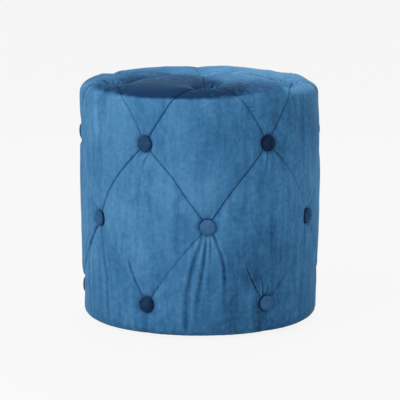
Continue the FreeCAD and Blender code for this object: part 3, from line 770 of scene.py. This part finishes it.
def make_cover():
    """The tufted velvet, formed vertex by vertex over its pillows."""
    mesh = lattice()
    for reach in FINER_WITHIN:
        refine(mesh, nearest_feature(read_velvet(mesh)) < reach)
    fan_out(mesh)
    velvet = read_velvet(mesh)
    for line, depths, widths, strengths, pleat in CREASES:
        velvet.valley(line, depths, widths)
        velvet.pleat(line, strengths, **pleat)
    for line, depth, width, fade in WRINKLES:
        velvet.wrinkle(line, depth, width, fade)
    for centre, on_top in PITS:
        if on_top:
            velvet.pit(centre, *TOP_PIT, STEEP_BEHIND if centre[1] > 0 else STEEP_IN_FRONT)
        else:
            velvet.pit(centre, *SIDE_PIT)
    velvet.fine += uneven(velvet) + gathers(velvet)
    points = velvet.points - velvet.depth()[:, None] * velvet.outward
    mesh.vertices.foreach_set("co", (points * MM).ravel())
    add_attribute(mesh, "cloth", np.column_stack([velvet.points[:, :2], velvet.way]) * MM)
    # Painted light goes into the pile's tone here, less the painted shade of creases and wrinkles.
    add_attribute(mesh, "nap_and_painted_light", nap_and_painted_light(velvet) - velvet.painted_shade)
    smooth(mesh)
    mesh.update()
    return mesh


# Where the pile lies another way: along a line, how wide, and how much lighter or darker.
# Some are painted light: the dark strokes in the front pit and along the seams are painted shade,
# the light ones on a pit's lip and towards the top's far edge painted highlights and sheen.
PILE_AND_PAINTED_LIGHT_STROKES = [
    ([side(-61, 341), side(-61, 312), side(-59, 284)], 6, 0.24),
    ([side(-12, 176), side(-14.5, 190), side(-12, 204)], 7, -0.16),
    ([side(15, 178), side(17, 190)], 6, -0.12),
    ([side(-37, 192), side(-34, 196)], 5, -0.12),
    ([side(-23.5, 52), side(-21.5, 40), side(-24, 28)], 5, 0.14),
    ([side(-20, 76), side(-24, 64)], 4, 0.14),
    ([side(-9, 178), side(-22, 230), side(-26, 262)], 9, 0.05),
    # Painted shade in the pit of the front button on the top.
    ([over(-6, 124), over(0, 108), over(8, 116)], 10, -0.36),
    ([over(160, 26), over(200, 26)], 12, -0.14),
    ([over(178, 150), over(184, 90)], 9, -0.26),
    ([side(-73, 340), side(-71, 322)], 6, -0.16),
    ([side(43, 346), side(54, 345), side(70, 348)], 8, 0.42),
    # Painted highlight on the front lip of a pit on the top.
    ([over(49, 147), over(54, 150), over(62, 162)], 4, 0.26),
    ([over(-82, 168), over(-70, 166)], 9, 0.22),
    ([over(205, 160), over(232, 160)], 10, 0.34),
    ([over(76, 118), over(88, 84), over(112, 56)], 5, 0.16),
    ([side(19.5, 8), side(20, 58)], 11, 0.26),
    ([side(38, 30), side(45, 70)], 30, 0.09),
    ([side(40, 290), side(62, 290), side(84, 296)], 34, -0.13),
]
# Painted shade along the far side of four seams on the top.
PAINTED_SEAM_SHADE = (4.5, -0.30)
for seam in (60, 120, 240, 300):
    lean = 4 if seam < 180 else -4
    PILE_AND_PAINTED_LIGHT_STROKES.append(([over(seam + 0.5 * lean, 118), over(seam + lean, 84),
                     over(seam + 2 * lean, 40)], *PAINTED_SEAM_SHADE))

# Where the top's pile begins at the edge: azimuths and heights
PILE_EDGE = [side(*mark) for mark in (
    (-180, 350), (-90, 350), (-64, 345), (-54, 342), (-43, 341), (-27, 339), (1, 339), (7, 341),
    (15, 343), (26, 346), (38, 343), (50, 339), (62, 338), (75, 342), (95, 351), (180, 350))]

# How light the pile is, by azimuth: along the brim of the top, further in, and on the side.
# Besides the nap this holds painted light: the dark front of the top is partly painted shade,
# and the lighter back of the top and the side's edges at left and right are painted sheen.
BRIM_PILE_AND_PAINTED_LIGHT = [(-180, 0.66), (-130, 0.60), (-105, 0.46), (-75, 0.34), (-60, 0.14), (-40, -0.12),
             (4, -0.1), (18, 0.04), (32, 0.26), (55, 0.64), (80, 0.76), (120, 0.86), (180, 0.70)]
INNER_PILE_AND_PAINTED_LIGHT = [(-180, 0.66), (-130, 0.60), (-105, 0.42), (-75, 0.24), (-60, 0.12), (-40, 0.04),
              (-3, 0.12), (14, 0.48), (35, 0.66), (60, 0.82), (80, 0.94), (140, 0.94), (180, 0.70)]
MIDDLE_TONE = 0.4
SIDE_PILE_AND_PAINTED_LIGHT = [(-180, 0.52), (-100, 0.64), (-75, 0.64), (-20, 0.60), (25, 0.46), (75, 0.62),
             (120, 0.60), (180, 0.52)]

# Painted shade on the side, by height: near the foot, and below the middle row at the right
FOOT_PAINTED_SHADE = [(20, 0.16), (130, 0)]
RIGHT_PAINTED_SHADE = [(135, 0.12), (185, 0)]
RIGHT_SPAN = [(-4, 0), (12, 1), (45, 1), (70, 0)]
# Painted shade: a thin dark ring round each button
PAINTED_RIM_SHADE = 0.55
PAINTED_RIM_WIDTH = 0.8


def nap_and_painted_light(velvet):
    """How light the pile looks, from 0 to 1: where it was brushed one way or another, with painted
    shade and painted sheen laid over that.
    """
    azimuth = velvet.azimuth
    height = velvet.points[:, 2]
    inwards = velvet.way - END_WAY
    within = read_off([(-4, 0), (30, 1)], inwards + RING)
    on_top = read_off(BRIM_PILE_AND_PAINTED_LIGHT, azimuth) * (1 - within) + read_off(INNER_PILE_AND_PAINTED_LIGHT, azimuth) * within
    middle = read_off([(-10, 0), (10, 1)], inwards)
    on_top = on_top * (1 - middle) + MIDDLE_TONE * middle
    on_side = (read_off(SIDE_PILE_AND_PAINTED_LIGHT, azimuth) - read_off(FOOT_PAINTED_SHADE, height)
               - read_off(RIGHT_PAINTED_SHADE, height) * read_off(RIGHT_SPAN, azimuth))
    top = read_off([(-3, 0), (1, 1)], velvet.way - read_off(PILE_EDGE, azimuth))
    tone = on_side * (1 - top) + on_top * top
    for places, width, change in PILE_AND_PAINTED_LIGHT_STROKES:
        index, distance, _, _ = Line(places).near(velvet, 2.5 * width)
        tone[index] += change * hill(distance, width)
    # Painted shade: a thin dark ring round each button.
    for centre, _ in PITS:
        gap = np.linalg.norm(velvet.points - centre, axis=1) - BUTTON_RADIUS
        tone -= PAINTED_RIM_SHADE * hill(np.clip(gap, 0, None), PAINTED_RIM_WIDTH) * velvet.outer
    return tone


def add_object(name, mesh, material, body="root"):
    """Puts a finished mesh in the scene, on its body."""
    piece = bpy.data.objects.new(name, mesh)
    scene.collection.objects.link(piece)
    mesh.materials.clear()
    mesh.materials.append(material)
    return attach(piece, body)


# Materials
def new_material(name):
    """An empty node material and its tree."""
    material = bpy.data.materials.new(name)
    material.use_nodes = True
    tree = material.node_tree
    tree.nodes.clear()
    return material, tree


def add(tree, kind, settings=None, **inputs):
    """A node, with its settings and with values or links for its inputs."""
    made = tree.nodes.new("ShaderNode" + kind)
    for name, given in (settings or {}).items():
        setattr(made, name, given)
    for name, given in inputs.items():
        socket = made.inputs[int(name[1:])] if name[0] == "_" else made.inputs[name.replace("_", " ")]
        if isinstance(given, bpy.types.NodeSocket):
            tree.links.new(given, socket)
        else:
            socket.default_value = given
    return made


def ramp(tree, source, stops):
    """A colour for each level of a source."""
    made = add(tree, "ValToRGB", Fac=source)
    bar = made.color_ramp
    while len(bar.elements) < len(stops):
        bar.elements.new(0.5)
    for element, (place, colour) in zip(bar.elements, stops):
        element.position = place
        element.color = (*colour, 1)
    return made.outputs["Color"]


def calculate(tree, operation, *levels):
    """A calculation with levels in a node tree."""
    inputs = {"_%d" % index: level for index, level in enumerate(levels)}
    return add(tree, "Math", {"operation": operation}, **inputs).outputs[0]


def cloudy(tree, place, scale, detail, **more):
    """Noise at a place."""
    return add(tree, "TexNoise", Vector=place, Scale=scale, Detail=detail, **more).outputs[0]


def velvet_material(name, tones, sheen, streak=1.0):
    """Short pile that looks lighter at the edges and streaked where it was brushed."""
    material, tree = new_material(name)
    cloth = add(tree, "Attribute", {"attribute_name": "cloth"}).outputs["Vector"]
    level = add(tree, "Attribute", {"attribute_name": "nap_and_painted_light"}).outputs["Fac"]
    stretched = add(tree, "Mapping", Vector=cloth, Scale=(1, 1, 0.16)).outputs["Vector"]
    streaks = cloudy(tree, stretched, 105.0, 5.0, Roughness=0.65)
    bands = cloudy(tree, stretched, 26.0, 2.0)
    blotches = cloudy(tree, cloth, 16.0, 4.0, Roughness=0.6, Distortion=0.6)
    mottle = cloudy(tree, cloth, 150.0, 3.0, Roughness=0.7)
    for source, strength in ((streaks, 0.60 * streak), (bands, 0.34 * streak), (blotches, 0.50),
                             (mottle, 0.55)):
        centred = calculate(tree, "MULTIPLY_ADD", source, strength, -strength / 2)
        level = calculate(tree, "ADD", level, centred)
    colour = ramp(tree, level, list(zip((0.0, 0.45, 1.0), tones)))
    pile = cloudy(tree, cloth, 1500.0, 2.0)
    brushed = calculate(tree, "MULTIPLY_ADD", streaks, 1.6, pile)
    bump = add(tree, "Bump", Height=brushed, Strength=0.16, Distance=0.0012).outputs[0]
    shader = add(tree, "BsdfPrincipled", Base_Color=colour, Roughness=0.9, Normal=bump,
                 Specular_IOR_Level=0.06, Sheen_Weight=sheen, Sheen_Roughness=0.36,
                 Sheen_Tint=(0.40, 0.70, 0.92, 1))
    add(tree, "OutputMaterial", Surface=shader.outputs[0])
    return material


def grained_material(name, light, dark, scale, stretch, roughness, metal, bump_height):
    """Wood, cloth, foam, metal or plastic: two tones in a stretched grain, with bump."""
    material, tree = new_material(name)
    place = add(tree, "TexCoord").outputs["Object"]
    mapped = add(tree, "Mapping", Vector=place, Scale=stretch).outputs["Vector"]
    grain = cloudy(tree, mapped, scale, 4.0, Roughness=0.6, Distortion=0.4)
    colour = ramp(tree, grain, [(0.3, dark), (0.7, light)])
    gloss = add(tree, "MapRange", Value=grain, To_Min=roughness - 0.08, To_Max=roughness + 0.1)
    bump = add(tree, "Bump", Height=grain, Strength=0.5, Distance=bump_height).outputs[0]
    shader = add(tree, "BsdfPrincipled", Base_Color=colour, Roughness=gloss.outputs[0],
                 Normal=bump, Metallic=metal)
    add(tree, "OutputMaterial", Surface=shader.outputs[0])
    return material


# Tones of the pile: dark, middle and light
VELVET_TONES = ((0.010, 0.042, 0.112), (0.044, 0.170, 0.348), (0.122, 0.330, 0.562))
BUTTON_TONES = ((0.006, 0.018, 0.050), (0.030, 0.095, 0.215), (0.080, 0.210, 0.420))

# For each slot: name, light and dark tone, fineness and stretch of the grain, roughness
GRAINS = {
    "button_metal": ("pressed_steel", (0.72, 0.72, 0.73), (0.58, 0.58, 0.60), 300, (1, 1, 1), 0.35),
    "twine": ("waxed_twine", (0.80, 0.77, 0.68), (0.58, 0.54, 0.45), 900, (1, 1, 0.2), 0.8),
    "toggle_wood": ("toggle_wood", (0.66, 0.48, 0.29), (0.45, 0.30, 0.16), 180, (1, 1, 0.12), 0.6),
    "plywood": ("plywood", (0.68, 0.52, 0.32), (0.50, 0.35, 0.19), 60, (0.15, 1, 1), 0.6),
    "post_wood": ("softwood", (0.75, 0.58, 0.34), (0.55, 0.38, 0.18), 110, (1, 1, 0.06), 0.6),
    "hardboard": ("hardboard", (0.22, 0.13, 0.07), (0.13, 0.07, 0.035), 500, (1, 1, 1), 0.5),
    "foam": ("foam", (0.86, 0.82, 0.66), (0.70, 0.65, 0.48), 700, (1, 1, 1), 0.9),
    "dust_cloth": ("black_cloth", (0.022, 0.022, 0.024), (0.010, 0.010, 0.011), 900, (1, 1, 1), 0.8),
    "glide_plastic": ("black_plastic", (0.030, 0.030, 0.032), (0.018, 0.018, 0.020), 240, (1, 1, 1),
                      0.42),
    "screw_steel": ("zinc_yellow", (0.72, 0.62, 0.34), (0.55, 0.46, 0.24), 400, (1, 1, 0.3), 0.35),
    "staple_steel": ("zinc", (0.62, 0.63, 0.64), (0.45, 0.46, 0.47), 500, (1, 1, 0.3), 0.32),
}
METALS = ("button_metal", "screw_steel", "staple_steel")
BUMP_HEIGHT = 0.0002
ROUGHER = {"foam": 0.0008, "dust_cloth": 0.0004}

LOOKS = {
    "velvet": velvet_material("blue_velvet", VELVET_TONES, 0.22),
    "button_velvet": velvet_material("button_velvet", BUTTON_TONES, 0.15, 0.3),
}
for slot_name, grain in GRAINS.items():
    LOOKS[slot_name] = grained_material(*grain, float(slot_name in METALS),
                                        ROUGHER.get(slot_name, BUMP_HEIGHT))
SLOTS = {entry["node"]: entry["material_slot"] for entry in frame["record"]["subparts"]}
for node_name, node_object in frame["nodes"].items():
    node_object.data.materials.clear()
    node_object.data.materials.append(LOOKS[SLOTS[node_name]])


# The cover
cover = add_object("velvet", make_cover(), LOOKS["velvet"])
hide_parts("velvet_cover")


# Buttons
CAP_RINGS = 15
CAP_TURNS = 56
RIM_SHARE = 0.35  # share of the rings that lie on the rim
RIM_DRAWN_IN = 0.14
TUCK_DEPTH = 0.10


def quad(first, second, turn, turns):
    """A face between two rings of vertices, which start at the first and the second."""
    following = (turn + 1) % turns
    return first + turn, first + following, second + following, second + turn


def cap_profile(share):
    """Radius and height from the foot of a cap to its crown, and how tucked it is."""
    if share < RIM_SHARE:
        part = share / RIM_SHARE
        drawn = 1 - RIM_DRAWN_IN + RIM_DRAWN_IN * math.sin(part * math.pi / 2)
        return BUTTON_RADIUS * drawn, BUTTON_RIM * part, 1 - part
    bend = (share - RIM_SHARE) / (1 - RIM_SHARE) * math.pi / 2
    return BUTTON_RADIUS * math.cos(bend), BUTTON_RIM + BUTTON_CROWN * math.sin(bend) ** 0.75, 0


def button_mesh(name, places, tones):
    """Domed buttons with velvet drawn tight over them and tucked in round the rim."""
    verts, faces, tone, cloth = [], [], [], []
    for (azimuth, way), level in zip(places, tones):
        centre, outward, along = (row[0] for row in surface(np.array([azimuth]), np.array([way])))
        seat = TOP_SEAT if way > EDGE_START else SIDE_SEAT
        up = Vector(along)
        out = (Vector(outward) + up * varied(-0.05, 0.03)).normalized()
        across = up.cross(out).normalized()
        up = out.cross(across)
        origin = Vector(centre) - out * seat
        base = len(verts)
        phase = varied(0, 6.28)
        for ring in range(CAP_RINGS):
            share = ring / (CAP_RINGS - 1)
            profile, height, tucked = cap_profile(share)
            for turn in range(CAP_TURNS):
                angle = 2 * math.pi * turn / CAP_TURNS
                tuck = math.sin(17 * angle + phase) + 0.6 * math.sin(29 * angle + 2 * phase)
                radius = profile + TUCK_DEPTH * tuck * (tucked + 0.25 * (1 - share))
                spot = (origin + across * (radius * math.cos(angle))
                        + up * (radius * math.sin(angle)) + out * height)
                verts.append(spot * MM)
                # Darker towards the rim: partly pressed pile, partly painted shade.
                tone.append(level - 0.3 * max(0.0, 0.45 - share))
                cloth.append((spot + Vector((40 * phase, 0, 0))) * MM)
        for ring in range(CAP_RINGS - 1):
            start = base + ring * CAP_TURNS
            faces += [quad(start, start + CAP_TURNS, turn, CAP_TURNS) for turn in range(CAP_TURNS)]
        faces.append(tuple(base + turn for turn in reversed(range(CAP_TURNS))))
    mesh = bpy.data.meshes.new(name)
    mesh.from_pydata(verts, [], faces)
    add_attribute(mesh, "nap_and_painted_light", tone)
    add_attribute(mesh, "cloth", cloth)
    smooth(mesh)
    with edited(mesh) as grid:
        bmesh.ops.remove_doubles(grid, verts=grid.verts, dist=0.00001)
        bmesh.ops.recalc_face_normals(grid, faces=grid.faces)
    return mesh


CAP_LEVELS = {
    "lower": [0.55, 0.35, 0.3, 0.4, 0.3, 0.14],
    "middle": [0.62, 0.35, 0.3, 0.4, 0.45, 0.5],
    "upper": [0.02, 0.3, 0.4, 0.3, 0.4, 0.25],
    "top": [0.2, 0.1, 0.3, 0.4, 0.4, 0.3, 0.2],
}
for row, places in BUTTON_PLACES.items():
    caps = add_object("%s_button_caps" % row, button_mesh(row, places, CAP_LEVELS[row]),
                      LOOKS["button_velvet"])
    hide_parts(row + "_buttons")


# The black cloth underneath
DUST_TURNS = 288
DUST_RINGS = [2, 12, 24, 36, 48, 60, 72, 84, 96, 106, 114, 121, 128, 133, 135.4, 136.2, 139, 143,
              146.4, DUST_RADIUS]
TURNED_IN = 135.8  # from here out the cloth lies double
FOLD_DROP = 0.35
DUST_THICKNESS = 0.75
STAPLES = 12
PULLED = 120  # from here out the staples pull at it
UNDER_VELVET = 0.05


def dust_point(radius, angle, upper):
    """A point of the dust cloth's lower or upper face."""
    pull = 0.7 * math.cos(STAPLES * angle - math.pi) * max(0, radius - PULLED) / 28
    wave = 0.16 * math.sin(7 * angle + radius / 19) + 0.12 * math.sin(12 * angle - radius / 31)
    wave *= min(1, radius / 40)
    wave *= min(1, (DUST_RADIUS - radius) / 30)
    sag = 0.5 * max(0, 1 - (radius / PULLED) ** 2) + wave
    fold = FOLD_DROP if radius > TURNED_IN else 0
    height = DUST_LEVEL - sag - fold * min(1, (DUST_RADIUS + 0.4 - radius) / 1.2)
    if upper:
        height = min(height + DUST_THICKNESS + fold, BOTTOM - UNDER_VELVET)
    reach = radius + pull - (0.7 if radius == DUST_RADIUS else 0)
    return Vector((reach * math.sin(angle), -reach * math.cos(angle), height))


def dust_mesh():
    """Thin cloth with its edge turned in, pulled a little between its staples."""
    turns = range(DUST_TURNS)
    verts = []
    for upper in (False, True):
        verts.append(Vector((0, 0, DUST_LEVEL + (0.5 if upper else 0.2))))
        verts += [dust_point(radius, 2 * math.pi * turn / DUST_TURNS, upper)
                  for radius in DUST_RINGS for turn in turns]
    faces = []
    half = len(verts) // 2
    for start, order in ((0, 1), (half, -1)):
        for turn in turns:
            following = (turn + 1) % DUST_TURNS
            faces.append((start, start + 1 + following, start + 1 + turn)[::order])
            for ring in range(len(DUST_RINGS) - 1):
                first = start + 1 + ring * DUST_TURNS
                faces.append(quad(first, first + DUST_TURNS, turn, DUST_TURNS)[::-order])
    edge = half - DUST_TURNS
    faces += [quad(edge, edge + half, turn, DUST_TURNS) for turn in turns]
    mesh = bpy.data.meshes.new("dust_cloth")
    mesh.from_pydata([vert * MM for vert in verts], [], faces)
    with edited(mesh) as grid:
        bmesh.ops.recalc_face_normals(grid, faces=grid.faces)
    smooth(mesh)
    return mesh


dust = add_object("dust_cloth", dust_mesh(), LOOKS["dust_cloth"])
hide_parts("dust_cover")


# Floor, backdrop and light
PAPER = (0.922, 0.922, 0.922)
HALF_FLOOR = 15.0


def seen_directly(tree):
    """1 where the camera sees a surface or its reflection, 0 where the surface gives light."""
    path = add(tree, "LightPath").outputs
    return calculate(tree, "MAXIMUM", path["Is Camera Ray"], path["Is Glossy Ray"])


def paper_material():
    """A pale floor that keeps a faint shadow and otherwise looks like the backdrop."""
    material, tree = new_material("pale_floor")
    share = calculate(tree, "MULTIPLY", seen_directly(tree), 0.93)
    plain = add(tree, "BsdfDiffuse", Color=(0.8, 0.8, 0.8, 1))
    glow = add(tree, "Emission", Color=(*PAPER, 1), Strength=1.04)
    mixed = add(tree, "MixShader", Fac=share, _1=plain.outputs[0], _2=glow.outputs[0])
    add(tree, "OutputMaterial", Surface=mixed.outputs[0])
    return material


floor_mesh = bpy.data.meshes.new("floor")
floor_mesh.from_pydata([(HALF_FLOOR * x, HALF_FLOOR * y, 0)
                        for x, y in ((-1, -1), (1, -1), (1, 1), (-1, 1))], [], [(0, 1, 2, 3)])
floor = bpy.data.objects.new("floor", floor_mesh)
floor_mesh.materials.append(paper_material())
scene.collection.objects.link(floor)

world = bpy.data.worlds.new("studio")
scene.world = world
world.use_nodes = True
sky = world.node_tree
sky.nodes.clear()
plain_sky = add(sky, "Background", Color=(0.95, 0.97, 1.0, 1), Strength=0.48)
shown_sky = add(sky, "Background", Color=(*PAPER, 1), Strength=1.0)
mixed_sky = add(sky, "MixShader", Fac=seen_directly(sky), _1=plain_sky.outputs[0],
                _2=shown_sky.outputs[0])
add(sky, "OutputWorld", Surface=mixed_sky.outputs[0])


def look_at(holder, aim, azimuth, elevation, distance):
    """Puts a lamp or the camera in the scene, looking at a point from a direction."""
    turn = math.radians(azimuth)
    rise = math.radians(elevation)
    out = Vector((math.sin(turn) * math.cos(rise), -math.cos(turn) * math.cos(rise),
                  math.sin(rise)))
    holder.location = aim + out * distance
    holder.rotation_euler = out.to_track_quat("Z", "Y").to_euler()
    scene.collection.objects.link(holder)


def area_light(name, azimuth, elevation, distance, size, power):
    """A soft square lamp that looks at the middle of the footstool."""
    lamp = bpy.data.lights.new(name, "AREA")
    lamp.shape = "SQUARE"
    lamp.size = size
    lamp.energy = power
    look_at(bpy.data.objects.new(name, lamp), Vector((0, 0, 0.2)), azimuth, elevation, distance)


area_light("key", -48, 34, 2.4, 1.6, 28)
area_light("fill", 42, 20, 2.8, 1.6, 9.5)
area_light("back", 165, 55, 2.4, 1.4, 18)

# Camera, where the photograph was taken from
CAMERA_DISTANCE = 2.6
CAMERA_AZIMUTH = -3.51
CAMERA_PITCH = 9.33
AIM = Vector((0, 0, 0.1705))
FOCAL_PIXELS = 1772
FRAME_PIXELS = 400
SENSOR = 36.0
camera = bpy.data.cameras.new("camera")
camera.sensor_width = SENSOR
camera.lens = SENSOR * FOCAL_PIXELS / FRAME_PIXELS
viewer = bpy.data.objects.new("camera", camera)
look_at(viewer, AIM, CAMERA_AZIMUTH, CAMERA_PITCH, CAMERA_DISTANCE)
scene.camera = viewer
scene.view_settings.view_transform = "Standard"
